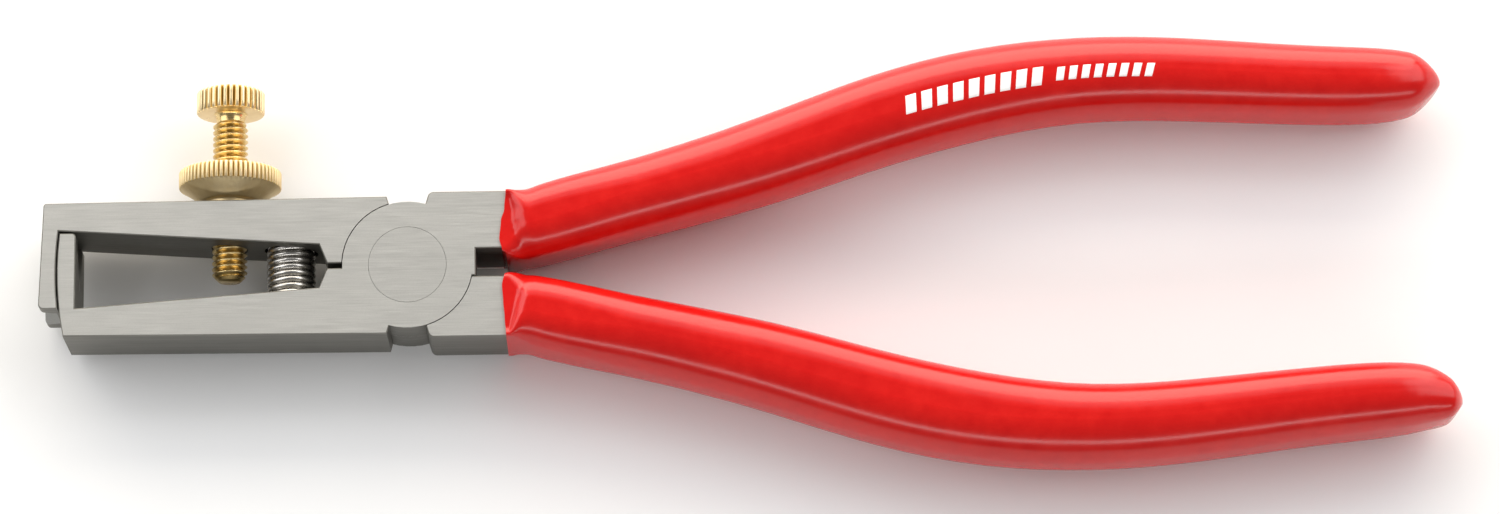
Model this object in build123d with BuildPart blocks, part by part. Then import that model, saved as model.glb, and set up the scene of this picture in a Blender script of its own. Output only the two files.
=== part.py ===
from build123d import *
from math import cos, radians, sqrt, tan
import os

# Adjustable wire-stripping pliers with a lap joint, lying on their back, jaws closed.
# Origin: where the pivot axis meets the rear face of the head.
# +X runs to the handles, +Y to the adjusting screw, +Z out of the front face. Millimetres.

# Head
HEAD_THICKNESS = 8.8
MID = HEAD_THICKNESS / 2
EDGE_BREAK = 0.12           # ground edges of the head
JAW_BACK = 7.95             # from the axis to the outside of a jaw, at the joint
JAW_BACK_TIP = 7.7          # and at the blade end
JAW_INSIDE_TIP = 4.5        # from the axis to the inside of a jaw, at the blade end
JAW_INSIDE_JOINT = 2.5      # and near the joint
JAW_INSIDE_END = -9.9       # where the inside turns in to the closing stop
STOP_START = -9.0
STOP_FACE = 0.3             # half of the slot left between the closing stops
ARM_TOP = 8.42
FRONT_ARM_INSIDE = 1.8      # from the axis to the inside of the front lever's arm
REAR_ARM_INSIDE = 1.45      # and of the rear lever's arm
ARM_END = 11.1              # the head's flat faces stop here
ARM_SHOULDER_ROUND = 0.7
ARM_GAP_START = 7.65        # the front lever closes the gap between the arms here
WEB_START = 5.0             # rear lever's web, behind the gap between the arms
WEB_TOP = 0.5

# Joint
JOINT_RADIUS = 7.3
JOINT_GAP = 0.1
LAP_GAP = 0.05
NOTCH_ANGLE = 16.25         # each side of the notch above and below the joint
RIVET_SHANK_RADIUS = 3.0
RIVET_HEAD_RADIUS = 4.35
RIVET_HEAD_HEIGHT = 2.0
RUNNING_CLEARANCE = 0.04

# Blade legs
INNER_BLADE_RADIUS = 39.2   # outer face of the inner leg, round the pivot
OUTER_BLADE_RADIUS = 39.35  # inner face of the outer leg, round the pivot
OUTER_BLADE_TOP = -40.8
OUTER_BLADE_FOOT = -41.25
OUTER_BLADE_REACH = -4.5    # how far the outer leg passes the axis
INNER_BLADE_INSIDE = -37.15
INNER_BLADE_REACH = 4.22
LEG_FOOT_ROUND = 0.55
LEG_TOP_ROUND = 0.45
JAW_CORNER_ROUND = 0.35
V_MOUTH = 4.4
V_APEX = 0.3                # the two notches just miss each other, closed
V_RELIEF_ANGLE = 16

# Adjusting screw, M4 x 0.7, and its lock nut
SCREW_X = -20.25
SCREW_TIP = -0.6
THREAD_RADIUS = 2.0
THREAD_ROOT_RADIUS = 1.62
THREAD_PITCH = 0.7
THREAD_TOP = 18.05
THREAD_CREST_SHARE = 0.2    # flat top of a ridge, as a share of the pitch
TIP_CHAMFER = 0.8
SCREW_HOLE_RADIUS = 2.05
KNOB_BOTTOM = 19.05
KNOB_HEIGHT = 2.65
KNOB_RADIUS = 3.85
KNOB_FLUTES = 34
KNOB_NECK_RADIUS = 1.6
KNOB_BORE_FLOOR = 0.6       # left over the neck, under the knob's top
NUT_HEIGHT = 4.25
NUT_RADIUS = 5.8
NUT_BAND = 1.95
NUT_SEAT_RADIUS = 2.75
NUT_SEAT_HEIGHT = 0.7
NUT_RIM_RADIUS = 3.45       # inner end of the cone, over the seat
NUT_FLUTES = 64
FLUTE_DEPTH = 0.22

# Spring between the jaws
SPRING_X = -13.3
SPRING_RADIUS = 2.4         # to the middle of the wire
SPRING_WIRE_RADIUS = 0.36
SPRING_POCKET_RADIUS = 3.0
SPRING_POCKET_FLOOR = 5.6   # from the axis
SPRING_TURNS = 14

# Handles, drawn for a handle above the axis
HANDLE_SPLAY = 1.2          # the front lever's handle sits wider, the rear lever's closer
HANDLE_OUTSIDE = [
    (ARM_END, 8.6),
    (12.8, 8.95),
    (15.5, 9.7),
    (24.3, 12.03),
    (41.2, 17.28),
    (52.5, 21.18),
    (64.0, 23.88),
    (77.0, 24.9),
    (90.0, 24.23),
    (102.0, 22.97),
    (111.0, 22.2),
    (115.6, 21.25),
    (118.7, 19.0),
]
HANDLE_INSIDE = [
    (ARM_END, 1.15),
    (11.9, 0.93),
    (12.8, 0.9),
    (15.5, 1.32),
    (24.6, 3.45),
    (41.8, 7.58),
    (53.0, 10.98),
    (64.3, 13.9),
    (77.3, 15.78),
    (90.0, 15.53),
    (102.0, 14.8),
    (110.5, 14.65),
    (115.2, 15.4),
    (118.7, 17.9),
]
SLEEVE_WALL = 1.1
SLEEVE_DEPTH = 11.0
SLEEVE_ROUND = 4.2
SLEEVE_START_ROUND = 1.2
SLEEVE_START_LENGTH = 4.5   # the covering swells from the head's thickness over this length
SLEEVE_TIP_LENGTH = 10.0
SLEEVE_TIP_DEPTH = 6.5
TANG_END = 112.0
SECTIONS = 28


def fade(distance, length):
    """1 at the start, easing to 0 at the given length."""
    return max(0.0, 1 - distance / length) ** 2


def splayed(points, side, splay):
    """Points of a handle edge on its own side of the axis, opened by its splay."""
    slope = tan(radians(splay))
    return [Vector(x, side * (y + (x - ARM_END) * slope)) for x, y in points]


def handle_loft(side, splay, inset, end):
    """Rounded section carried down a handle as far as end, inset from the covering's outside."""
    with BuildLine(mode=Mode.PRIVATE):
        outside = Spline(*splayed(HANDLE_OUTSIDE, side, splay))
        inside = Spline(*splayed(HANDLE_INSIDE, side, splay))
    tip = HANDLE_OUTSIDE[-1][0]
    with BuildPart() as body:
        for number in range(SECTIONS + 1):
            share = (1 - cos(radians(180 * number / SECTIONS))) / 2
            low, high = inside @ share, outside @ share
            middle = (low + high) / 2
            if middle.X > end:
                break
            across = (high - low).normalized()
            height = (high - low).length
            start_fade = fade(middle.X - ARM_END, SLEEVE_START_LENGTH)
            tip_fade = fade(tip - middle.X, SLEEVE_TIP_LENGTH)
            depth = SLEEVE_DEPTH
            depth -= (SLEEVE_DEPTH - HEAD_THICKNESS) * start_fade
            depth -= (SLEEVE_DEPTH - SLEEVE_TIP_DEPTH) * tip_fade
            radius = SLEEVE_ROUND - (SLEEVE_ROUND - SLEEVE_START_ROUND) * start_fade
            radius = min(radius, 0.45 * height)
            section_plane = Plane(
                origin=(middle.X, middle.Y, MID),
                x_dir=across,
                z_dir=across.cross(Vector(0, 0, 1)),
            )
            with BuildSketch(section_plane):
                RectangleRounded(
                    height - 2 * inset,
                    depth - 2 * inset,
                    max(radius - inset, 0.1),
                )
        loft()
    return body.part


def joint_sector(reach):
    """X of the radial shoulder at a given distance from the axis."""
    return reach * tan(radians(NOTCH_ANGLE))


def arm_profile(side, inside):
    """Arm between the joint and the handle covering."""
    with BuildSketch() as profile:
        with BuildLine():
            FilletPolyline(
                (0, 0),
                (joint_sector(ARM_TOP), side * ARM_TOP),
                (ARM_END, side * ARM_TOP),
                radius=ARM_SHOULDER_ROUND,
            )
            Polyline(
                (ARM_END, side * ARM_TOP),
                (ARM_END, side * inside),
                (0, side * inside),
                (0, 0),
            )
        make_face()
    return profile.sketch


def upper_jaw_profile():
    """Rear lever's jaw, with the outer blade leg at its end."""
    leg_foot = (-sqrt(OUTER_BLADE_RADIUS**2 - OUTER_BLADE_REACH**2), OUTER_BLADE_REACH)
    leg_root = (-sqrt(OUTER_BLADE_RADIUS**2 - JAW_INSIDE_TIP**2), JAW_INSIDE_TIP)
    with BuildSketch() as profile:
        with BuildLine():
            ThreePointArc(leg_foot, (-OUTER_BLADE_RADIUS, 0), leg_root)
            Polyline(
                leg_root,
                (JAW_INSIDE_END, JAW_INSIDE_JOINT),
                (STOP_START, STOP_FACE),
                (-joint_sector(STOP_FACE), STOP_FACE),
                (-joint_sector(JAW_BACK), JAW_BACK),
                (OUTER_BLADE_TOP, JAW_BACK_TIP),
                (OUTER_BLADE_FOOT, OUTER_BLADE_REACH),
                leg_foot,
            )
        make_face()
        foot_corner = (OUTER_BLADE_FOOT, OUTER_BLADE_REACH)
        fillet(profile.vertices().sort_by_distance(foot_corner)[0], LEG_FOOT_ROUND)
        top_corner = (OUTER_BLADE_TOP, JAW_BACK_TIP)
        fillet(profile.vertices().sort_by_distance(top_corner)[0], JAW_CORNER_ROUND)
    return profile.sketch


def lower_jaw_profile():
    """Front lever's jaw. Its end is an arc round the pivot, up the inner blade leg."""
    foot = (-sqrt(INNER_BLADE_RADIUS**2 - JAW_BACK_TIP**2), -JAW_BACK_TIP)
    top = (-sqrt(INNER_BLADE_RADIUS**2 - INNER_BLADE_REACH**2), INNER_BLADE_REACH)
    with BuildSketch() as profile:
        with BuildLine():
            ThreePointArc(foot, (-INNER_BLADE_RADIUS, 0), top)
            Polyline(
                top,
                (INNER_BLADE_INSIDE, INNER_BLADE_REACH),
                (INNER_BLADE_INSIDE, -JAW_INSIDE_TIP),
                (JAW_INSIDE_END, -JAW_INSIDE_JOINT),
                (STOP_START, -STOP_FACE),
                (-joint_sector(STOP_FACE), -STOP_FACE),
                (-joint_sector(JAW_BACK), -JAW_BACK),
                foot,
            )
        make_face()
        leg_corner = (INNER_BLADE_INSIDE, INNER_BLADE_REACH)
        fillet(profile.vertices().sort_by_distance(leg_corner)[0], LEG_TOP_ROUND)
    return profile.sketch


def blade_notch(side, shear_x, thickness_sign):
    """V cut from a leg's free end towards the axis, wider away from the shearing face."""
    reach = INNER_BLADE_REACH if side > 0 else -OUTER_BLADE_REACH
    mouth = reach + 1
    spread = V_MOUTH / 2 * (mouth - V_APEX) / (reach - V_APEX)
    with BuildPart() as notch:
        with BuildSketch(Plane.YZ.offset(shear_x)):
            with BuildLine():
                Polyline(
                    (side * V_APEX * -1, MID),
                    (side * mouth, MID - spread),
                    (side * mouth, MID + spread),
                    close=True,
                )
            make_face()
        extrude(amount=3 * thickness_sign, taper=-V_RELIEF_ANGLE)
    return notch.part


def make_lever(jaw, arm, arm_side, own_half, splay):
    """Jaw, half-thick joint disc, arm and tang. own_half is 0 for the rear, 1 for the front."""
    half_thickness = MID - LAP_GAP / 2
    own_floor = own_half * (MID + LAP_GAP / 2)
    pocket_floor = (1 - own_half) * (MID - LAP_GAP / 2)
    pocket_depth = MID + LAP_GAP / 2
    with BuildPart() as lever:
        extrude(jaw, amount=HEAD_THICKNESS)
        extrude(arm, amount=HEAD_THICKNESS)
        with BuildSketch(Plane.XY.offset(pocket_floor)):
            Circle(JOINT_RADIUS + JOINT_GAP)
        extrude(amount=pocket_depth, mode=Mode.SUBTRACT)
        with BuildSketch(Plane.XY.offset(own_floor)):
            Circle(JOINT_RADIUS)
        extrude(amount=half_thickness)
        add(handle_loft(arm_side, splay, SLEEVE_WALL, TANG_END))
    return lever.part


def ground_edges(lever):
    """Outline edges of both flat faces, without the joint's arcs and the arm's end."""
    outline = ShapeList()
    for face_height in (0, HEAD_THICKNESS):
        outline += lever.edges().filter_by_position(Axis.Z, face_height - 0.01, face_height + 0.01)
    outline = [edge for edge in outline if edge.center().X < ARM_END - 0.1]
    return [
        edge
        for edge in outline
        if edge.geom_type != GeomType.CIRCLE or not 1 < edge.radius < JOINT_RADIUS + 1
    ]


with BuildPart() as rear_lever:
    add(make_lever(upper_jaw_profile(), arm_profile(-1, REAR_ARM_INSIDE), -1, 0, -HANDLE_SPLAY))
    # web behind the gap between the arms, joined to the arm by half a millimetre
    with BuildSketch():
        with Locations((WEB_START, -REAR_ARM_INSIDE - 0.5)):
            Rectangle(
                ARM_END - WEB_START,
                WEB_TOP + REAR_ARM_INSIDE + 0.5,
                align=(Align.MIN, Align.MIN),
            )
    extrude(amount=MID - LAP_GAP / 2)
    # the closing stop is in the front half only
    with BuildSketch():
        with BuildLine():
            Polyline(
                (JAW_INSIDE_END, 0),
                (JAW_INSIDE_END, JAW_INSIDE_JOINT),
                (0, JAW_INSIDE_JOINT),
                (0, 0),
                close=True,
            )
        make_face()
        Circle(JOINT_RADIUS, mode=Mode.SUBTRACT)
    extrude(amount=MID, mode=Mode.SUBTRACT)
    # rivet: shank and head pressed in from the rear
    with BuildSketch():
        Circle(RIVET_SHANK_RADIUS)
    extrude(amount=HEAD_THICKNESS, mode=Mode.SUBTRACT)
    with BuildSketch():
        Circle(RIVET_HEAD_RADIUS)
    extrude(amount=RIVET_HEAD_HEIGHT, mode=Mode.SUBTRACT)
    # screw hole through the jaw, and the spring's pocket
    with BuildSketch(Plane.XZ):
        with Locations((SCREW_X, MID)):
            Circle(SCREW_HOLE_RADIUS)
    extrude(amount=-JAW_BACK - 1, mode=Mode.SUBTRACT)
    with BuildSketch(Plane.XZ):
        with Locations((SPRING_X, MID)):
            Circle(SPRING_POCKET_RADIUS)
    extrude(amount=-SPRING_POCKET_FLOOR, mode=Mode.SUBTRACT)
    add(blade_notch(-1, -OUTER_BLADE_RADIUS, -1), mode=Mode.SUBTRACT)
    chamfer(ground_edges(rear_lever), EDGE_BREAK)

with BuildPart() as front_lever:
    add(make_lever(lower_jaw_profile(), arm_profile(1, FRONT_ARM_INSIDE), 1, 1, HANDLE_SPLAY))
    # closed end of the gap between the arms
    with BuildSketch(Plane.XY.offset(MID + LAP_GAP / 2)):
        with Locations((0, JOINT_GAP - REAR_ARM_INSIDE)):
            Rectangle(
                ARM_GAP_START,
                FRONT_ARM_INSIDE + REAR_ARM_INSIDE - JOINT_GAP,
                align=(Align.MIN, Align.MIN),
            )
    extrude(amount=MID - LAP_GAP / 2)
    with BuildSketch():
        Circle(RIVET_SHANK_RADIUS + RUNNING_CLEARANCE)
    extrude(amount=HEAD_THICKNESS, mode=Mode.SUBTRACT)
    with BuildSketch(Plane.XY.offset(HEAD_THICKNESS)):
        Circle(RIVET_HEAD_RADIUS + RUNNING_CLEARANCE)
    extrude(amount=-RIVET_HEAD_HEIGHT - RUNNING_CLEARANCE, mode=Mode.SUBTRACT)
    with BuildSketch(Plane.XZ):
        with Locations((SPRING_X, MID)):
            Circle(SPRING_POCKET_RADIUS)
    extrude(amount=SPRING_POCKET_FLOOR, mode=Mode.SUBTRACT)
    add(blade_notch(1, -INNER_BLADE_RADIUS, 1), mode=Mode.SUBTRACT)
    chamfer(ground_edges(front_lever), EDGE_BREAK)

with BuildPart() as joint_rivet:
    with BuildSketch():
        Circle(RIVET_SHANK_RADIUS)
    extrude(amount=HEAD_THICKNESS)
    for head_floor in (0, HEAD_THICKNESS - RIVET_HEAD_HEIGHT):
        with BuildSketch(Plane.XY.offset(head_floor)):
            Circle(RIVET_HEAD_RADIUS)
        extrude(amount=RIVET_HEAD_HEIGHT)

# Turned parts are drawn with their axis on Y, at the screw
SCREW_PLANE = Plane(origin=(SCREW_X, 0, MID), x_dir=(1, 0, 0), z_dir=(0, 0, 1))
SCREW_AXIS = Axis((SCREW_X, 0, MID), (0, 1, 0))

with BuildPart() as adjusting_stud:
    with BuildSketch(SCREW_PLANE):
        with BuildLine():
            ridges = int((THREAD_TOP - SCREW_TIP - TIP_CHAMFER) / THREAD_PITCH)
            outline = [(0, SCREW_TIP), (THREAD_RADIUS - TIP_CHAMFER, SCREW_TIP)]
            for ridge in range(ridges):
                foot = SCREW_TIP + TIP_CHAMFER + ridge * THREAD_PITCH
                outline.append((THREAD_ROOT_RADIUS, foot))
                outline.append((THREAD_RADIUS, foot + (1 - THREAD_CREST_SHARE) / 2 * THREAD_PITCH))
                outline.append((THREAD_RADIUS, foot + (1 + THREAD_CREST_SHARE) / 2 * THREAD_PITCH))
            outline.append((THREAD_ROOT_RADIUS, THREAD_TOP))
            outline.append((KNOB_NECK_RADIUS, THREAD_TOP))
            outline.append((KNOB_NECK_RADIUS, KNOB_BOTTOM + KNOB_HEIGHT - KNOB_BORE_FLOOR))
            outline.append((0, KNOB_BOTTOM + KNOB_HEIGHT - KNOB_BORE_FLOOR))
            Polyline(*outline, close=True)
        make_face()
    revolve(axis=SCREW_AXIS)


def knurled_ring(radius, bottom, height, flutes):
    """Plain band with straight flutes all round, its axis on the screw."""
    with BuildPart() as band:
        with BuildSketch(Plane.XZ.offset(-bottom)):
            with Locations((SCREW_X, MID)):
                Circle(radius)
                with PolarLocations(radius, flutes):
                    Circle(FLUTE_DEPTH, mode=Mode.SUBTRACT)
        extrude(amount=-height)
    return band.part


with BuildPart() as adjusting_knob:
    add(knurled_ring(KNOB_RADIUS, KNOB_BOTTOM, KNOB_HEIGHT, KNOB_FLUTES))
    with BuildSketch(Plane.XZ.offset(-KNOB_BOTTOM)):
        with Locations((SCREW_X, MID)):
            Circle(KNOB_NECK_RADIUS)
    extrude(amount=KNOB_BORE_FLOOR - KNOB_HEIGHT, mode=Mode.SUBTRACT)

with BuildPart() as lock_nut:
    add(knurled_ring(NUT_RADIUS, JAW_BACK + NUT_HEIGHT - NUT_BAND, NUT_BAND, NUT_FLUTES))
    with BuildSketch(SCREW_PLANE):
        with BuildLine():
            Polyline(
                (0, JAW_BACK),
                (NUT_SEAT_RADIUS, JAW_BACK),
                (NUT_SEAT_RADIUS, JAW_BACK + NUT_SEAT_HEIGHT),
                (NUT_RIM_RADIUS, JAW_BACK + NUT_SEAT_HEIGHT),
                (NUT_RADIUS - FLUTE_DEPTH, JAW_BACK + NUT_HEIGHT - NUT_BAND),
                (0, JAW_BACK + NUT_HEIGHT - NUT_BAND),
                close=True,
            )
        make_face()
    revolve(axis=SCREW_AXIS)
    with BuildSketch(Plane.XZ.offset(-JAW_BACK)):
        with Locations((SCREW_X, MID)):
            Circle(SCREW_HOLE_RADIUS)
    extrude(amount=-NUT_HEIGHT, mode=Mode.SUBTRACT)

with BuildPart() as opening_spring:
    half_length = SPRING_POCKET_FLOOR - SPRING_WIRE_RADIUS - 0.05
    with BuildLine():
        coil = Helix(
            pitch=2 * half_length / SPRING_TURNS,
            height=2 * half_length,
            radius=SPRING_RADIUS,
            center=(SPRING_X, -half_length, MID),
            direction=(0, 1, 0),
        )
    with BuildSketch(Plane(origin=coil @ 0, z_dir=coil % 0)):
        Circle(SPRING_WIRE_RADIUS)
    sweep(is_frenet=True)

with BuildPart() as rear_handle_sleeve:
    add(handle_loft(-1, -HANDLE_SPLAY, 0, HANDLE_OUTSIDE[-1][0]))
    add(handle_loft(-1, -HANDLE_SPLAY, SLEEVE_WALL, TANG_END), mode=Mode.SUBTRACT)

with BuildPart() as front_handle_sleeve:
    add(handle_loft(1, HANDLE_SPLAY, 0, HANDLE_OUTSIDE[-1][0]))
    add(handle_loft(1, HANDLE_SPLAY, SLEEVE_WALL, TANG_END), mode=Mode.SUBTRACT)

rear_lever.part.label = "rear_lever"
front_lever.part.label = "front_lever"
joint_rivet.part.label = "joint_rivet"
adjusting_stud.part.label = "adjusting_stud"
adjusting_knob.part.label = "adjusting_knob"
lock_nut.part.label = "lock_nut"
opening_spring.part.label = "opening_spring"
rear_handle_sleeve.part.label = "rear_handle_sleeve"
front_handle_sleeve.part.label = "front_handle_sleeve"

os.makedirs("parts", exist_ok=True)
export_step(rear_lever.part, "parts/rear_lever.step")
export_step(front_lever.part, "parts/front_lever.step")
export_step(joint_rivet.part, "parts/joint_rivet.step")
export_step(adjusting_stud.part, "parts/adjusting_stud.step")
export_step(adjusting_knob.part, "parts/adjusting_knob.step")
export_step(lock_nut.part, "parts/lock_nut.step")
export_step(opening_spring.part, "parts/opening_spring.step")
export_step(rear_handle_sleeve.part, "parts/rear_handle_sleeve.step")
export_step(front_handle_sleeve.part, "parts/front_handle_sleeve.step")
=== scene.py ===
import math

import bmesh
import bpy
import numpy as np
from mathutils import Matrix, Vector
from mathutils.bvhtree import BVHTree


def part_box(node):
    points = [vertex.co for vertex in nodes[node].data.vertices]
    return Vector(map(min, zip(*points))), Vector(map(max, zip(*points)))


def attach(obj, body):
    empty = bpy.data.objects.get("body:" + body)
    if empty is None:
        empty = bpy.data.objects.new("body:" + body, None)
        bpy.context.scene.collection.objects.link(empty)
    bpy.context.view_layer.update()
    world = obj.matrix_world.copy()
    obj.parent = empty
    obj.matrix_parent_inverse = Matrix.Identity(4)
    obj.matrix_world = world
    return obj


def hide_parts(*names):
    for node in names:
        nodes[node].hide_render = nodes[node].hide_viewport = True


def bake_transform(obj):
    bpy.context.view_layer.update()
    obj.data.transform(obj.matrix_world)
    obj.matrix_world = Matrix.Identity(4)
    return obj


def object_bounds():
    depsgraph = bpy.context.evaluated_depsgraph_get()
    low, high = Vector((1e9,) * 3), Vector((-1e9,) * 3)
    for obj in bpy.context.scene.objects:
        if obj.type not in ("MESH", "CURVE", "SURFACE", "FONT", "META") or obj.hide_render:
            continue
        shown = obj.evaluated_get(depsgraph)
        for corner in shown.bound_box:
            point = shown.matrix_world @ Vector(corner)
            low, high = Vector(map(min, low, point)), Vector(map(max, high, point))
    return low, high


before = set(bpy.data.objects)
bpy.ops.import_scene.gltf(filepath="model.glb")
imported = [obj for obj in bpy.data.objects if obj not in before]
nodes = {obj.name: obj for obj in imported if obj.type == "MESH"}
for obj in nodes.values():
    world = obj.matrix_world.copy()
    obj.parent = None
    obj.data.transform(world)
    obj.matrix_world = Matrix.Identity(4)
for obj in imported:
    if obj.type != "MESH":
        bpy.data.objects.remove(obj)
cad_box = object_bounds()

# Adjustable wire-stripping pliers lying on their back on a pale table. Metres throughout.
MM = 0.001

# Sizes read from the frame
HEAD_LOW, HEAD_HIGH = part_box("joint_rivet")
MID = (HEAD_LOW.z + HEAD_HIGH.z) / 2
STUD_LOW, STUD_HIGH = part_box("adjusting_stud")
KNOB_LOW, KNOB_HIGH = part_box("adjusting_knob")
NUT_LOW, NUT_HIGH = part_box("lock_nut")
SPRING_LOW, SPRING_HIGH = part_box("opening_spring")
SCREW_X = (STUD_LOW.x + STUD_HIGH.x) / 2
SPRING_X = (SPRING_LOW.x + SPRING_HIGH.x) / 2


# ---------------------------------------------------------------- mesh helpers

def mesh_object(name, vertices, faces):
    """New object from plain lists, with its normals pointing out."""
    mesh = bpy.data.meshes.new(name)
    mesh.from_pydata([tuple(v) for v in vertices], [], faces)
    mesh.validate()
    shell = bmesh.new()
    shell.from_mesh(mesh)
    bmesh.ops.recalc_face_normals(shell, faces=shell.faces)
    shell.to_mesh(mesh)
    shell.free()
    mesh.shade_smooth()
    thing = bpy.data.objects.new(name, mesh)
    bpy.context.scene.collection.objects.link(thing)
    return thing


def skin_of_loops(loops, cap_start=False, cap_end=False):
    """Vertices and faces of a skin through closed loops that all have the same number of points."""
    count = len(loops[0])
    vertices = [point for loop in loops for point in loop]
    faces = []
    for row in range(len(loops) - 1):
        for place in range(count):
            after = (place + 1) % count
            low, high = row * count, (row + 1) * count
            faces.append((low + place, low + after, high + after, high + place))
    if cap_start:
        faces.append(tuple(range(count)))
    if cap_end:
        faces.append(tuple(range((len(loops) - 1) * count, len(loops) * count)))
    return vertices, faces


def mark_grooves(thing, values):
    """Stores how deep in a groove each vertex lies, 0 to 1; the material darkens deep places as
    painted shade.
    """
    layer = thing.data.attributes.new("groove", "FLOAT", "POINT")
    layer.data.foreach_set("value", np.array(values, dtype=np.float32))


def sharpen(thing, degrees):
    """Smooth shading that stays crisp on edges sharper than the angle."""
    thing.data.set_sharp_from_angle(angle=math.radians(degrees))


def smoothstep(value):
    value = min(max(value, 0.0), 1.0)
    return value * value * (3 - 2 * value)


# ---------------------------------------------------------------- materials

class Nodes:
    """Short calls for building one material's node tree."""

    def __init__(self, name):
        self.material = bpy.data.materials.new(name)
        self.material.use_nodes = True
        self.tree = self.material.node_tree
        self.shader = self.tree.nodes["Principled BSDF"]
        self.place = self.add("ShaderNodeTexCoord").outputs["Object"]

    def add(self, kind, **settings):
        node = self.tree.nodes.new(kind)
        for key, value in settings.items():
            setattr(node, key, value)
        return node

    def link(self, source, target):
        self.tree.links.new(source, target)

    def stretched(self, x, y, z):
        """Object coordinates scaled along each axis."""
        mapping = self.add("ShaderNodeMapping")
        mapping.inputs["Scale"].default_value = (x, y, z)
        self.link(self.place, mapping.inputs["Vector"])
        return mapping.outputs["Vector"]

    def noise(self, vector, scale=1.0, detail=3.0, roughness=0.5):
        node = self.add("ShaderNodeTexNoise")
        node.inputs["Scale"].default_value = scale
        node.inputs["Detail"].default_value = detail
        node.inputs["Roughness"].default_value = roughness
        self.link(vector, node.inputs["Vector"])
        return node.outputs["Fac"]

    def remap(self, value, low, high, to_low, to_high):
        node = self.add("ShaderNodeMapRange")
        for name, number in (
            ("From Min", low), ("From Max", high), ("To Min", to_low), ("To Max", to_high)
        ):
            node.inputs[name].default_value = number
        self.link(value, node.inputs["Value"])
        return node.outputs["Result"]

    def mix(self, share, first, second):
        """Colours, or links to colours, mixed by a share."""
        node = self.add("ShaderNodeMix", data_type="RGBA")
        for socket, value in ((node.inputs["A"], first), (node.inputs["B"], second)):
            if isinstance(value, tuple):
                socket.default_value = (*value, 1.0)
            else:
                self.link(value, socket)
        self.link(share, node.inputs["Factor"])
        return node.outputs["Result"]

    def math(self, operation, first, second):
        node = self.add("ShaderNodeMath", operation=operation)
        for socket, value in zip(node.inputs, (first, second)):
            if isinstance(value, (int, float)):
                socket.default_value = value
            else:
                self.link(value, socket)
        return node.outputs["Value"]

    def bump(self, height, distance, strength=1.0):
        node = self.add("ShaderNodeBump")
        node.inputs["Distance"].default_value = distance
        node.inputs["Strength"].default_value = strength
        self.link(height, node.inputs["Height"])
        self.link(node.outputs["Normal"], self.shader.inputs["Normal"])

    def set(self, **values):
        for name, value in values.items():
            self.shader.inputs[name.replace("_", " ")].default_value = value


def brushed_steel(name, ground, milled_and_shade, shine):
    """Steel ground along X on its flat faces; its sides take a darker milled tone that is partly a
    real milled finish and partly painted shade.
    """
    kit = Nodes(name)
    kit.set(Metallic=1.0)
    grain = kit.noise(kit.stretched(260, 9000, 9000), detail=3.0, roughness=0.6)
    streaks = kit.noise(kit.stretched(70, 2100, 2100), detail=3.0, roughness=0.7)
    speckle = kit.noise(kit.place, scale=6500, detail=2.0)
    clouds = kit.noise(kit.place, scale=130, detail=3.0)
    normal = kit.add("ShaderNodeSeparateXYZ")
    kit.link(kit.add("ShaderNodeNewGeometry").outputs["Normal"], normal.inputs[0])
    facing = kit.math("ABSOLUTE", normal.outputs["Z"], 0.0)
    flat = kit.remap(facing, 0.75, 0.95, 0.0, 1.0)
    light = tuple(channel * 1.07 for channel in ground)
    dark = tuple(channel * 0.90 for channel in ground)
    deep = tuple(channel * 0.74 for channel in ground)
    face = kit.mix(kit.remap(grain, 0.3, 0.7, 0.0, 1.0), dark, light)
    face = kit.mix(kit.remap(streaks, 0.56, 0.78, 0.0, 0.55), face, deep)
    face = kit.mix(kit.remap(speckle, 0.5, 0.75, 0.0, 0.25), face, deep)
    face = kit.mix(kit.remap(clouds, 0.35, 0.75, 0.0, 0.35), face, dark)
    # Painted shade: faces that don't face the front or back take the darker milled tone. This is
    # partly a real milled finish and partly shade.
    side = kit.mix(
        kit.remap(streaks, 0.3, 0.7, 0.0, 1.0), milled_and_shade, tuple(channel * 1.3 for channel in milled_and_shade)
    )
    kit.link(kit.mix(flat, side, face), kit.shader.inputs["Base Color"])
    rough = kit.remap(grain, 0.25, 0.75, shine - 0.04, shine + 0.06)
    kit.link(rough, kit.shader.inputs["Roughness"])
    height = kit.math("ADD", grain, kit.math("MULTIPLY", speckle, 0.5))
    kit.bump(height, 0.000006, 0.35)
    return kit.material


def turned_brass(name, colour, shade, deep, roughness):
    """Brass with fine turning lines round the screw's axis, with painted shade darkening its
    grooves.
    """
    kit = Nodes(name)
    kit.set(Metallic=1.0)
    lines = kit.noise(kit.stretched(350, 7000, 350), detail=3.0)
    tarnish = kit.noise(kit.place, scale=900, detail=4.0)
    groove = kit.add("ShaderNodeAttribute", attribute_name="groove").outputs["Fac"]
    tone = kit.mix(kit.remap(tarnish, 0.35, 0.75, 0.0, 0.7), colour, shade)
    # Painted shade: the deeper a point lies in a groove, the closer its colour is to the dark deep
    # tone.
    tone = kit.mix(kit.remap(groove, 0.15, 0.85, 0.0, 1.0), tone, deep)
    kit.link(tone, kit.shader.inputs["Base Color"])
    kit.link(
        kit.remap(lines, 0.3, 0.7, roughness - 0.03, roughness + 0.05),
        kit.shader.inputs["Roughness"],
    )
    kit.bump(lines, 0.000002, 0.3)
    return kit.material


def spring_wire(name):
    """Drawn spring steel with darker stains."""
    kit = Nodes(name)
    kit.set(Metallic=1.0)
    stains = kit.noise(kit.place, scale=1500, detail=3.0)
    tone = kit.mix(kit.remap(stains, 0.35, 0.7, 0.0, 1.0), (0.60, 0.58, 0.55), (0.44, 0.42, 0.39))
    kit.link(tone, kit.shader.inputs["Base Color"])
    kit.link(kit.remap(stains, 0.3, 0.7, 0.22, 0.32), kit.shader.inputs["Roughness"])
    kit.bump(stains, 0.000003, 0.3)
    return kit.material


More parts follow.
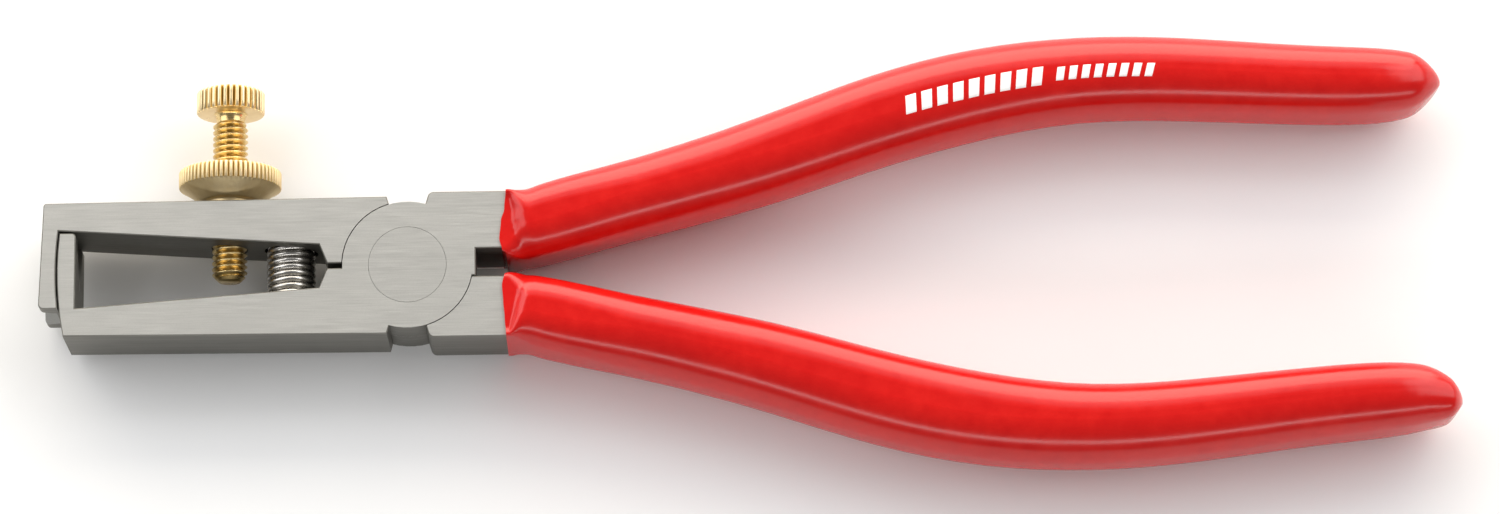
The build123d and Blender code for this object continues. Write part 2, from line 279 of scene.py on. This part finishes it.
def dipped_plastic(name):
    """Glossy red dipping: slow ripples left by the drip and faint mottling."""
    kit = Nodes(name)
    kit.set(IOR=1.45)
    mottle = kit.noise(kit.place, scale=520, detail=4.0, roughness=0.65)
    patches = kit.noise(kit.stretched(60, 140, 140), detail=2.0)
    ripple = kit.noise(kit.stretched(90, 160, 160), detail=1.0)
    grain = kit.noise(kit.place, scale=3800, detail=2.0)
    tone = kit.mix(
        kit.remap(mottle, 0.3, 0.7, 0.0, 1.0), (0.56, 0.005, 0.004), (0.63, 0.009, 0.006)
    )
    tone = kit.mix(kit.remap(patches, 0.4, 0.75, 0.0, 0.6), tone, (0.49, 0.004, 0.004))
    kit.link(tone, kit.shader.inputs["Base Color"])
    kit.link(kit.remap(mottle, 0.3, 0.7, 0.19, 0.25), kit.shader.inputs["Roughness"])
    height = kit.math("ADD", ripple, kit.math("MULTIPLY", grain, 0.02))
    kit.bump(height, 0.00007, 0.5)
    return kit.material


def printed_ink(name):
    """White print, faintly worn in patches."""
    kit = Nodes(name)
    wear = kit.noise(kit.place, scale=2600, detail=4.0)
    tone = kit.mix(kit.remap(wear, 0.3, 0.75, 0.0, 0.35), (0.92, 0.92, 0.91), (0.86, 0.7, 0.68))
    kit.link(tone, kit.shader.inputs["Base Color"])
    kit.link(kit.remap(wear, 0.3, 0.7, 0.35, 0.5), kit.shader.inputs["Roughness"])
    kit.bump(wear, 0.00001, 0.3)
    return kit.material


GROUND_TONE = (0.52, 0.515, 0.49)
# Tone of the steel's sides: partly a real milled finish, made darker as painted shade.
MILLED_AND_SHADE_TONE = (0.175, 0.17, 0.152)
# The third tone of each brass set is painted shade for the bottoms of grooves.
BRASS_TONES = (0.80, 0.65, 0.39), (0.72, 0.55, 0.29), (0.42, 0.27, 0.07)
THREAD_TONES = (0.82, 0.64, 0.33), (0.68, 0.49, 0.2), (0.62, 0.42, 0.14)
STEEL = brushed_steel("ground_steel", GROUND_TONE, MILLED_AND_SHADE_TONE, 0.5)
RIVET_STEEL = brushed_steel("rivet_steel", GROUND_TONE, MILLED_AND_SHADE_TONE, 0.49)
BRASS = turned_brass("turned_brass", *BRASS_TONES, 0.3)
SATIN_BRASS = turned_brass("satin_brass", *BRASS_TONES, 0.48)
THREAD_BRASS = turned_brass("thread_brass", *THREAD_TONES, 0.27)
SPRING_STEEL = spring_wire("spring_steel")
RED_DIP = dipped_plastic("red_dip")
WHITE_INK = printed_ink("white_ink")


def paint(thing, material):
    thing.data.materials.clear()
    thing.data.materials.append(material)


# ---------------------------------------------------------------- steel levers and rivet

def finish_steel():
    """The ground levers and the rivet keep their CAD shape."""
    for name, material in (
        ("rear_lever", STEEL), ("front_lever", STEEL), ("joint_rivet", RIVET_STEEL)
    ):
        paint(nodes[name], material)


# ---------------------------------------------------------------- screw, knob and nut

KNURL_SHARPNESS = 2.2        # above 1 the knurl's grooves are narrower than its ridges
KNOB_TEETH = 34
NUT_TEETH = 64


def turned(profile, teeth, depth, steps):
    """Loops of a knurled lathe shape round the screw's axis, and how deep each point is cut.

    Profile rows are (radius, height, share of the knurl)."""
    loops, cuts = [], []
    for radius, height, knurl in profile:
        loop = []
        for step in range(steps):
            angle = 2 * math.pi * step / steps
            cut = knurl * (0.5 - 0.5 * math.cos(teeth * angle)) ** KNURL_SHARPNESS
            reach = radius - depth * cut
            cuts.append(cut)
            loop.append((
                SCREW_X + reach * math.cos(angle),
                height,
                MID + reach * math.sin(angle),
            ))
        loops.append(loop)
    return loops, cuts


def knurled_knob():
    """Small coarse-knurled head with a rounded rim and a shallow dish in its top."""
    radius = (KNOB_HIGH.z - KNOB_LOW.z) / 2
    low, high = KNOB_LOW.y, KNOB_HIGH.y
    profile = [
        (0.2 * MM, high - 0.12 * MM, 0),
        (2.4 * MM, high - 0.12 * MM, 0),
        (2.7 * MM, high - 0.02 * MM, 0),
        (3.3 * MM, high, 0),
        (radius - 0.28 * MM, high, 0.4),
        (radius - 0.08 * MM, high - 0.10 * MM, 0.9),
        (radius, high - 0.28 * MM, 1),
        (radius, high - 0.8 * MM, 1),
        (radius, low + 0.9 * MM, 1),
        (radius, low + 0.16 * MM, 1),
        (radius - 0.05 * MM, low + 0.09 * MM, 0.7),
        (radius - 0.16 * MM, low + 0.02 * MM, 0.1),
        (radius - 0.3 * MM, low, 0),
        (2.4 * MM, low, 0),
        (1.9 * MM, low, 0),
        (1.4 * MM, low + 0.03 * MM, 0),
    ]
    loops, cuts = turned(profile, teeth=KNOB_TEETH, depth=0.34 * MM, steps=KNOB_TEETH * 14)
    knob = mesh_object("knurled_knob", *skin_of_loops(loops, cap_start=True, cap_end=True))
    mark_grooves(knob, cuts)
    sharpen(knob, 38)
    paint(knob, BRASS)
    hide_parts("adjusting_knob")
    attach(knob, "knob")


def knurled_nut():
    """Wide lock nut: fine-knurled band over a shallow cone, undercut above its small seat."""
    radius = (NUT_HIGH.z - NUT_LOW.z) / 2
    low, high = NUT_LOW.y, NUT_HIGH.y
    bore = 2.03 * MM
    profile = [
        (bore, low + 1.5 * MM, 0),
        (bore, low + 0.1 * MM, 0),
        (2.45 * MM, low, 0),
        (2.7 * MM, low, 0),
        (2.75 * MM, low + 0.06 * MM, 0),
        (2.75 * MM, low + 0.6 * MM, 0),
        (2.85 * MM, low + 0.7 * MM, 0),
        (3.35 * MM, low + 0.7 * MM, 0),
        (3.45 * MM, low + 0.75 * MM, 0),
        (3.6 * MM, low + 0.88 * MM, 0),
        (4.2 * MM, low + 1.34 * MM, 0),
        (4.75 * MM, low + 1.73 * MM, 0),
        (5.2 * MM, low + 2.02 * MM, 0),
        (radius - 0.24 * MM, low + 2.26 * MM, 0),
        (radius - 0.06 * MM, low + 2.31 * MM, 0.7),
        (radius, low + 2.4 * MM, 1),
        (radius, low + 3.3 * MM, 1),
        (radius, high - 0.22 * MM, 1),
        (radius - 0.08 * MM, high - 0.08 * MM, 0.9),
        (radius - 0.28 * MM, high, 0.3),
        (radius - 0.8 * MM, high, 0),
        (2.9 * MM, high, 0),
        (2.35 * MM, high - 0.02 * MM, 0),
        (bore, high - 0.3 * MM, 0),
        (bore, high - 1.5 * MM, 0),
    ]
    loops, cuts = turned(
        profile + profile[:1], teeth=NUT_TEETH, depth=0.2 * MM, steps=NUT_TEETH * 12
    )
    nut = mesh_object("knurled_lock_nut", *skin_of_loops(loops))
    mark_grooves(nut, cuts)
    sharpen(nut, 38)
    paint(nut, SATIN_BRASS)
    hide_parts("lock_nut")
    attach(nut, "nut")


def threaded_stud():
    """Right-hand M4 thread with a chamfered tip, and a plain neck under the knob."""
    pitch, crest, root = 0.7 * MM, 1.99 * MM, 1.6 * MM
    tip, thread_top = STUD_LOW.y, KNOB_LOW.y - 0.95 * MM
    chamfer, tip_radius = 0.75 * MM, 1.25 * MM
    right_crest = KNOB_LOW.y - 1.83 * MM
    steps, rows_per_turn = 72, 12
    rows = int((thread_top - tip) / pitch * rows_per_turn)
    loops, depths = [], []
    for row in range(rows + 1):
        height = tip + (thread_top - tip) * row / rows
        near_tip = tip_radius + (height - tip) * (crest - tip_radius) / chamfer
        run_out = smoothstep((thread_top - height) / (0.7 * pitch))
        loop = []
        for step in range(steps):
            angle = 2 * math.pi * step / steps
            phase = ((height - right_crest) / pitch + angle / (2 * math.pi)) % 1.0
            ridge = min(1.0, abs(phase - 0.5) * 2.3)
            reach = root + (crest - root) * ridge ** 1.15 * run_out
            reach = min(reach, near_tip)
            depths.append((1 - ridge) * run_out)
            loop.append((
                SCREW_X + reach * math.cos(angle), height, MID + reach * math.sin(angle)
            ))
        loops.append(loop)
    # radius, and distance below the knob's underside, in mm
    neck = [(1.6, 0.9), (1.62, 0.6), (1.66, 0.3), (1.75, 0.12), (1.95, 0.01), (1.95, -0.1)]
    for radius, below in neck:
        loops.append([
            (
                SCREW_X + radius * MM * math.cos(2 * math.pi * step / steps),
                KNOB_LOW.y - below * MM,
                MID + radius * MM * math.sin(2 * math.pi * step / steps),
            )
            for step in range(steps)
        ])
    # The plain neck under the knob gets a little of the grooves' painted shade.
    depths += [0.3] * (len(neck) * steps)
    stud = mesh_object("threaded_stud", *skin_of_loops(loops, cap_start=True, cap_end=True))
    mark_grooves(stud, depths)
    sharpen(stud, 50)
    paint(stud, THREAD_BRASS)
    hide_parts("adjusting_stud")
    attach(stud, "screw")


# ---------------------------------------------------------------- spring

def coil_spring():
    """Compression spring seated in both jaws."""
    wire = 0.37 * MM
    radius = (SPRING_HIGH.x - SPRING_LOW.x) / 2 - wire
    low, high = SPRING_LOW.y + wire, SPRING_HIGH.y - wire
    turns, steps_per_turn, around = 14, 48, 14
    loops = []
    total = turns * steps_per_turn
    for step in range(total + 1):
        angle = -2 * math.pi * step / steps_per_turn
        height = low + (high - low) * step / total
        out = Vector((math.cos(angle), 0, math.sin(angle)))
        centre = Vector((SPRING_X, height, MID)) + radius * out
        loops.append([
            centre + wire * (math.cos(a) * out + math.sin(a) * Vector((0, 1, 0)))
            for a in (2 * math.pi * k / around for k in range(around))
        ])
    spring = mesh_object("coil_spring", *skin_of_loops(loops, cap_start=True, cap_end=True))
    sharpen(spring, 60)
    paint(spring, SPRING_STEEL)
    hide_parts("opening_spring")
    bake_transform(spring)


# ---------------------------------------------------------------- handle coverings

RAY_START = 0.1              # rays are cast at the coverings from this far out


def surface_tree(thing):
    """Search tree of an object's faces, for casting rays at it."""
    mesh = thing.data
    return BVHTree.FromPolygons(
        [vertex.co for vertex in mesh.vertices], [face.vertices for face in mesh.polygons]
    )


def sleeve_edges(tree, side, x):
    """Outer edge, inner edge and front of a CAD covering where it crosses x."""
    outer = tree.ray_cast(Vector((x, side * RAY_START, MID)), Vector((0, -side, 0)))[0]
    inner = tree.ray_cast(Vector((x, -side * RAY_START, MID)), Vector((0, side, 0)))[0]
    middle = (outer.y + inner.y) / 2
    front = tree.ray_cast(Vector((x, middle, RAY_START)), Vector((0, 0, -1)))[0]
    return outer.y, inner.y, front.z


FACE_POINTS = 26             # steps across each broad face
CORNER_POINTS = 9
STATIONS = 170               # sections along a covering
END_MARGIN = 0.02 * MM
WAVE_LENGTH = 5 * MM         # the dipped edge's wave dies away over this length
FULL_DEPTH_LENGTH = 6 * MM   # the swell, not the solid, sets the depth over this length
SINK_LENGTH = 5 * MM
SMALLEST_NOSE = 0.02         # share of its section left at the very end of a nose


def rounded_loop(outer, inner, depth, radius):
    """Rounded rectangle as (y, z, share across from the outer edge), the same count per corner."""
    height = abs(outer - inner)
    radius = min(radius, 0.46 * height, 0.46 * depth)
    side = 1 if outer > inner else -1
    middle = (outer + inner) / 2
    points = []
    for number, (across, up) in enumerate([(1, 1), (-1, 1), (-1, -1), (1, -1)]):
        centre = (across * (height / 2 - radius), up * (depth / 2 - radius))
        for step in range(CORNER_POINTS):
            angle = math.pi / 2 * (number + step / (CORNER_POINTS - 1))
            reach = centre[0] + radius * math.cos(angle)
            points.append((
                middle + side * reach,
                MID + centre[1] + radius * math.sin(angle),
                0.5 - reach / height,
            ))
        if number in (0, 2):
            # extra points along the broad front and rear faces
            for step in range(1, FACE_POINTS):
                share = step / FACE_POINTS
                reach = centre[0] * (1 - 2 * share)
                points.append((
                    middle + side * reach, MID + up * depth / 2, 0.5 - reach / height
                ))
    return points


# The swell behind the dipped edge, in mm: height, slant of its line, length, and how that grows
FRONT_RAMP = (0.9, 2.0, 1.5, 0.2)
REAR_RAMP = (0.85, 2.1, 1.1, 0.2)
# The rounded nose, in mm: how far it ends before the solid's tip, its length, and how far it sinks
FRONT_NOSE = (0.77, 3.8, 0.0)
REAR_NOSE = (0.36, 1.7, 0.7)
# How far the dipped edge stands from the end of the arm, in mm, at shares across the arm
FRONT_EDGE_WAVE = [(0, -0.03), (0.3, -0.2), (0.5, -0.6), (0.78, -0.78), (0.95, -0.5), (1, -0.03)]
REAR_EDGE_WAVE = [(0, -0.1), (0.3, -0.25), (0.55, -0.4), (0.8, -0.52), (1, -0.25)]


def edge_wave(table, share):
    """Smooth value of an edge-wave table, in metres."""
    share = min(max(share, 0.0), 1.0)
    for (first, low), (second, high) in zip(table, table[1:]):
        if share <= second:
            return (low + (high - low) * smoothstep((share - first) / (second - first))) * MM
    return table[-1][1] * MM


EDGE_LAND = 0.2              # mm from the dipped edge before the swell begins
SWELL_CURVE = 0.6            # below 1 the swell rises early and levels off late


def start_drop(along, share, ramp):
    """How far the front and rear faces lie under full thickness, near the dipped edge."""
    height, slant, length, spread = ramp
    begin = (EDGE_LAND + slant * share) * MM
    run = min(max((along - begin) / ((length + spread * share) * MM), 0.0), 1.0)
    rise = smoothstep(run ** SWELL_CURVE)
    return height * MM * (1 - rise) * smoothstep((share + 0.06) / 0.2)


def start_pinch(along):
    """How far the outer edge is drawn in behind the dipped edge."""
    edge = 0.1 * (1 - smoothstep(along / (2.5 * MM)))
    waist = 0.2 * smoothstep(along / (1.2 * MM)) * (1 - smoothstep((along - 1.2 * MM) / (3 * MM)))
    return (edge + waist) * MM


def corner_radius(along):
    """Corner radius of a covering's section: small at the dipped edge, then growing in two steps."""
    first = 2.6 * smoothstep(along / (2.8 * MM))
    later = smoothstep((along - 3 * MM) / (18 * MM))
    return (0.7 + first + later) * MM


def handle_sleeve(name, node, body, side, wave, ramp, nose):
    """Dipped covering: wavy edge on the arm, a slanting swell to full thickness, rounded nose."""
    low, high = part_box(node)
    start, tip = low.x, high.x
    tree = surface_tree(nodes[node])
    full_depth = 2 * (sleeve_edges(tree, side, start + FULL_DEPTH_LENGTH)[2] - MID)
    short, nose_length, sink = nose
    nose_start = tip - (short + nose_length) * MM
    loops = []
    for number in range(STATIONS + 1):
        share = (1 - math.cos(math.pi * number / STATIONS)) / 2
        x = start + END_MARGIN + (tip - short * MM - start - END_MARGIN) * share
        along = x - start
        outer, inner, front = sleeve_edges(tree, side, x)
        outer -= side * start_pinch(along)
        depth = full_depth if along < FULL_DEPTH_LENGTH else 2 * (front - MID)
        shift = 1 - smoothstep(along / WAVE_LENGTH)
        run = max((x - nose_start) / (nose_length * MM), 0)
        size = math.sqrt(max(1 - run * run, SMALLEST_NOSE ** 2))
        middle = (outer + inner) / 2
        lowered = sink * MM * smoothstep((x - tip + SINK_LENGTH) / SINK_LENGTH)
        loop = []
        for y, z, across in rounded_loop(outer, inner, depth, corner_radius(along)):
            level = (z - MID) / (depth / 2)
            z -= level * start_drop(along, across, ramp)
            y = middle + (y - middle) * size - lowered
            z = MID + (z - MID) * size
            loop.append((x + edge_wave(wave, across) * shift, y, z))
        loops.append(loop)
    sleeve = mesh_object(name, *skin_of_loops(loops, cap_start=True, cap_end=True))
    sharpen(sleeve, 60)
    paint(sleeve, RED_DIP)
    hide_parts(node)
    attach(sleeve, body)
    return sleeve


PRINT_HEIGHT = 0.44          # the print's centre line, as a share from the inner edge
PRINT_SLANT = 0.25
PRINT_THICKNESS = 0.02 * MM
PRINT_RIM = 0.01 * MM        # how far the print's rim dips under the surface


def printed_mark(sleeve):
    """Generic print on the upper grip: a row of slanting bars, then a row of short dashes."""
    tree = surface_tree(sleeve)

    def centre_line(x):
        outer, inner, _ = sleeve_edges(tree, 1, x)
        return inner + PRINT_HEIGHT * (outer - inner)

    bars = []
    bar_start, bar_width, bar_step, bar_height = 56.4 * MM, 1.15 * MM, 1.8 * MM, 2.05 * MM
    bars += [(bar_start + number * bar_step, bar_width, bar_height) for number in range(9)]
    dash_start, dash_width, dash_step, dash_height = 73.6 * MM, 0.85 * MM, 1.45 * MM, 1.5 * MM
    bars += [(dash_start + number * dash_step, dash_width, dash_height) for number in range(8)]
    # the outermost shares are a rim that dips under the surface
    across_shares = [-0.03, 0, 1 / 3, 2 / 3, 1, 1.03]
    up_shares = [-0.02, 0, 1 / 6, 1 / 3, 1 / 2, 2 / 3, 5 / 6, 1, 1.02]
    vertices, faces = [], []
    for left, width, height in bars:
        first = len(vertices)
        for up_share in up_shares:
            up = up_share - 0.5
            for across_share in across_shares:
                x = left + width * across_share + PRINT_SLANT * height * up
                slope = (centre_line(x + 0.5 * MM) - centre_line(x - 0.5 * MM)) / MM
                y = centre_line(x) + up * height * math.cos(math.atan(slope))
                place = x - up * height * math.sin(math.atan(slope))
                hit = tree.ray_cast(Vector((place, y, RAY_START)), Vector((0, 0, -1)))[0]
                rim = min(up_share, across_share) < 0 or max(up_share, across_share) > 1
                vertices.append((place, y, hit.z + (-PRINT_RIM if rim else PRINT_THICKNESS)))
        for row in range(len(up_shares) - 1):
            for column in range(len(across_shares) - 1):
                corner = first + row * len(across_shares) + column
                above = corner + len(across_shares)
                faces.append((corner, corner + 1, above + 1, above))
    mark = mesh_object("printed_mark", vertices, faces)
    paint(mark, WHITE_INK)
    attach(mark, "front")


# ---------------------------------------------------------------- stage, lights, camera

def stage():
    """Pale table just under the tool."""
    size = 3.0
    bottom = cad_box[0].z - 0.05 * MM
    mesh = bpy.data.meshes.new("table")
    corners = [(-size, -size), (size, -size), (size, size), (-size, size)]
    mesh.from_pydata([(x, y, bottom) for x, y in corners], [], [(0, 1, 2, 3)])
    table = bpy.data.objects.new("table", mesh)
    bpy.context.scene.collection.objects.link(table)
    kit = Nodes("pale_table")
    kit.set(Roughness=0.7)
    tone = kit.mix(kit.remap(kit.noise(kit.place, scale=30), 0.3, 0.7, 0, 1),
                   (0.88, 0.88, 0.88), (0.9, 0.9, 0.9))
    kit.link(tone, kit.shader.inputs["Base Color"])
    paint(table, kit.material)


def softbox(name, heading, elevation, distance, width, height, radiance, colour=(1, 1, 1)):
    """Rectangular light aimed at the tool. Heading is in degrees from +X towards +Y."""
    heading, elevation = math.radians(heading), math.radians(elevation)
    toward = Vector((
        math.cos(elevation) * math.cos(heading),
        math.cos(elevation) * math.sin(heading),
        math.sin(elevation),
    ))
    light = bpy.data.lights.new(name, "AREA")
    light.shape = "RECTANGLE"
    light.size, light.size_y = width, height
    light.energy = radiance * math.pi * width * height
    light.color = colour
    lamp = bpy.data.objects.new(name, light)
    lamp.location = Vector((0.03, 0, 0)) + distance * toward
    lamp.rotation_mode = "QUATERNION"
    lamp.rotation_quaternion = (-toward).to_track_quat("-Z", "Y")
    bpy.context.scene.collection.objects.link(lamp)


def lights():
    """Bright wall beyond the tool with a dim band over it, side walls, a strip on the near side."""
    warm = (1.0, 0.93, 0.82)
    softbox("far_wall", 90, 21, 0.95, 1.6, 0.74, 4.6, warm)
    softbox("far_band", 90, 50, 0.95, 1.5, 0.34, 1.2)
    softbox("left_wall", 157, 34, 0.95, 0.7, 0.85, 2.4)
    softbox("right_wall", 23, 34, 0.95, 0.7, 0.85, 2.4)
    softbox("near_strip", -90, 30, 0.8, 1.7, 0.12, 5.0)
    world = bpy.data.worlds.new("studio")
    world.use_nodes = True
    world.node_tree.nodes["Background"].inputs["Color"].default_value = (1, 1, 1, 1)
    world.node_tree.nodes["Background"].inputs["Strength"].default_value = 0.2
    bpy.context.scene.world = world
    bpy.context.scene.view_settings.view_transform = "Standard"


def camera():
    """Camera over the front face, tipped a little towards the near side."""
    turn, tip, roll = math.radians(-1.25), math.radians(15), math.radians(1.2)
    distance = 0.560
    target = Vector((38.53, 1.42, 4.4)) * MM
    back = Vector((math.sin(turn) * math.cos(tip), -math.sin(tip), math.cos(turn) * math.cos(tip)))
    back.normalize()
    right = Vector((0, 1, 0)).cross(back).normalized()
    up = back.cross(right)
    level = math.cos(roll), math.sin(roll)
    right, up = level[0] * right - level[1] * up, level[1] * right + level[0] * up
    lens = bpy.data.cameras.new("camera")
    lens.sensor_width = 36
    lens.lens = 118.74
    lens.clip_start, lens.clip_end = 0.01, 10
    view = bpy.data.objects.new("camera", lens)
    view.matrix_world = Matrix((
        (right.x, up.x, back.x, target.x + distance * back.x),
        (right.y, up.y, back.y, target.y + distance * back.y),
        (right.z, up.z, back.z, target.z + distance * back.z),
        (0, 0, 0, 1),
    ))
    bpy.context.scene.collection.objects.link(view)
    bpy.context.scene.camera = view


camera()
lights()
stage()
finish_steel()
knurled_knob()
knurled_nut()
threaded_stud()
coil_spring()
front_grip = handle_sleeve(
    "front_grip_dip", "front_handle_sleeve", "front", 1, FRONT_EDGE_WAVE, FRONT_RAMP, FRONT_NOSE
)
handle_sleeve(
    "rear_grip_dip", "rear_handle_sleeve", "rear", -1, REAR_EDGE_WAVE, REAR_RAMP, REAR_NOSE
)
printed_mark(front_grip)
